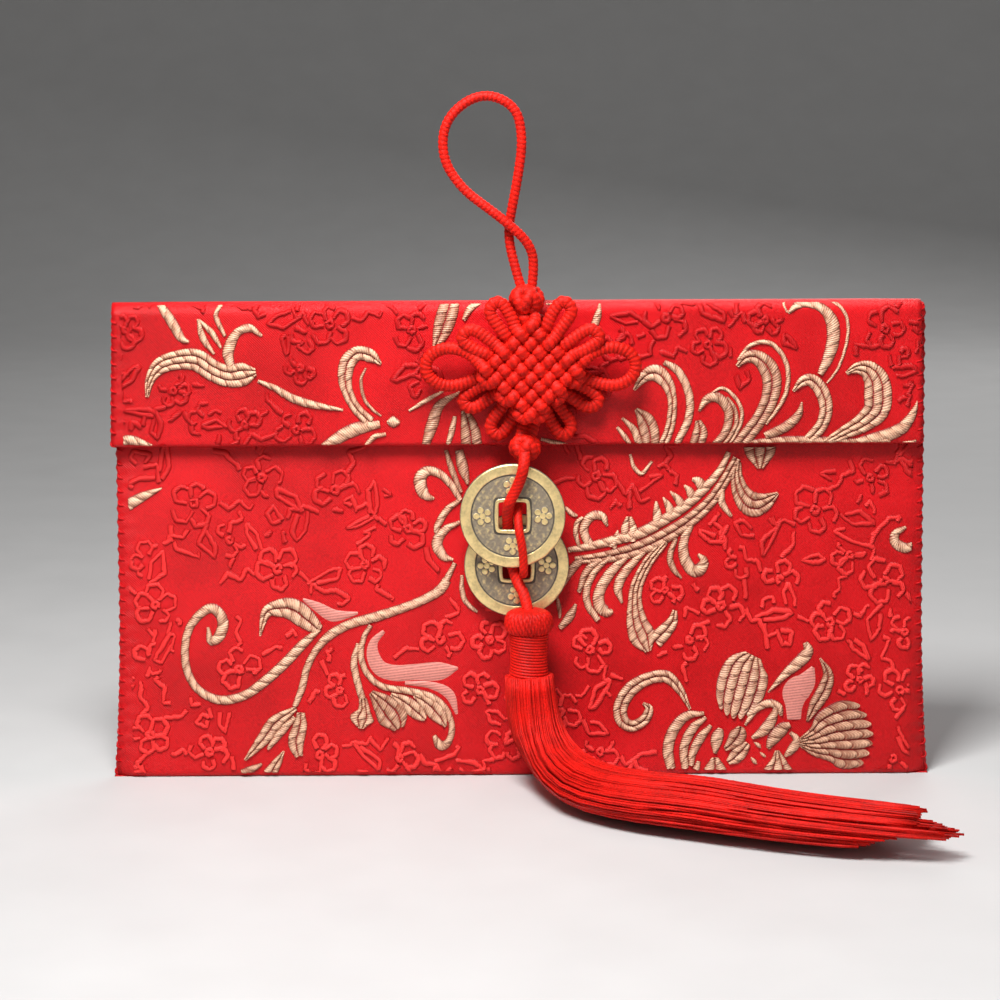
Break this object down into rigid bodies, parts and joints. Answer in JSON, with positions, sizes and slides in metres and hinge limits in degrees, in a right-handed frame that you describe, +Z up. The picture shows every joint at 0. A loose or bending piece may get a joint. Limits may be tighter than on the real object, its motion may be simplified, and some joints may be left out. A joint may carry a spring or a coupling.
{
  "type": "red brocade gift envelope",
  "caption": "Red brocade gift envelope that stands on its base, with a hinged flap, a woven cord knot, a hanging loop, coins on a cord and a tassel.",
  "frame": {"origin": "on the floor under the middle of the pocket, on the flat bottom fold that the envelope stands on", "axes": "+Z up along the upright back, +X to the right along the pocket's width, front towards -Y"},
  "size_m": [0.1908, 0.0775, 0.1626],
  "materials": {
    "brocade": "satin",
    "lining": "satin",
    "board": "matte",
    "thread": "satin",
    "stud_metal": "polished",
    "cord": "satin",
    "coin_brass": "aged",
    "tassel_silk": "satin"
  },
  "bodies": {
    "pocket": {"pocket_cover": "brocade", "pocket_lining": "lining", "front_board": "board", "back_board": "board", "side_stitches_left": "thread", "side_stitches_right": "thread", "stud": "stud_metal"},
    "fold": {"top_fold": "brocade"},
    "flap": {"flap_cover": "brocade", "flap_board": "board", "flap_lining": "lining", "flap_stitches_left": "thread", "flap_stitches_right": "thread", "stud_socket": "stud_metal", "knot_strand_left": "cord", "knot_strand_right": "cord", "knot_tacks": "thread", "upper_bead_knot": "cord", "lower_bead_knot": "cord"},
    "loop": {"hanging_loop": "cord"},
    "coin_string": {"coin_strand_front": "cord", "coin_strand_back": "cord"},
    "upper_coin": {"upper_coin": "coin_brass"},
    "lower_coin": {"lower_coin": "coin_brass"},
    "tassel": {"tassel_head": "tassel_silk", "tassel_neck": "tassel_silk", "tassel_binding": "tassel_silk", "tassel_skirt": "tassel_silk"}
  },
  "joints": [
    {"name": "fold_hinge", "type": "hinge", "parent": "pocket", "child": "fold", "pos_m": [0, 0.00305, 0.1114], "axis": [-1, 0, 0], "range_deg": [0, 90]},
    {"name": "flap_hinge", "type": "hinge", "parent": "fold", "child": "flap", "pos_m": [0, -0.00817, 0.1114], "axis": [-1, 0, 0], "range_deg": [0, 90]},
    {"name": "loop_tilt", "type": "hinge", "parent": "flap", "child": "loop", "pos_m": [0.0016, -0.01392, 0.1129], "axis": [1, 0, 0], "range_deg": [-60, 80]},
    {"name": "string_lift", "type": "hinge", "parent": "flap", "child": "coin_string", "pos_m": [0.0011, -0.01392, 0.0788], "axis": [-1, 0, 0], "range_deg": [0, 70]},
    {"name": "upper_coin_turn", "type": "hinge", "parent": "coin_string", "child": "upper_coin", "pos_m": [-0.0018, -0.0153, 0.0631], "axis": [0, 1, 0], "range_deg": [-15, 15]},
    {"name": "lower_coin_turn", "type": "hinge", "parent": "coin_string", "child": "lower_coin", "pos_m": [-0.0009, -0.01201, 0.0508], "axis": [0, 1, 0], "range_deg": [-15, 15]},
    {"name": "tassel_swing", "type": "hinge", "parent": "coin_string", "child": "tassel", "pos_m": [0.0018, -0.01845, 0.0417], "axis": [0, -1, 0], "range_deg": [0, 45]}
  ],
  "couplings": [
    {"joint": "flap_hinge", "follows": "fold_hinge", "ratio": 1}
  ]
}
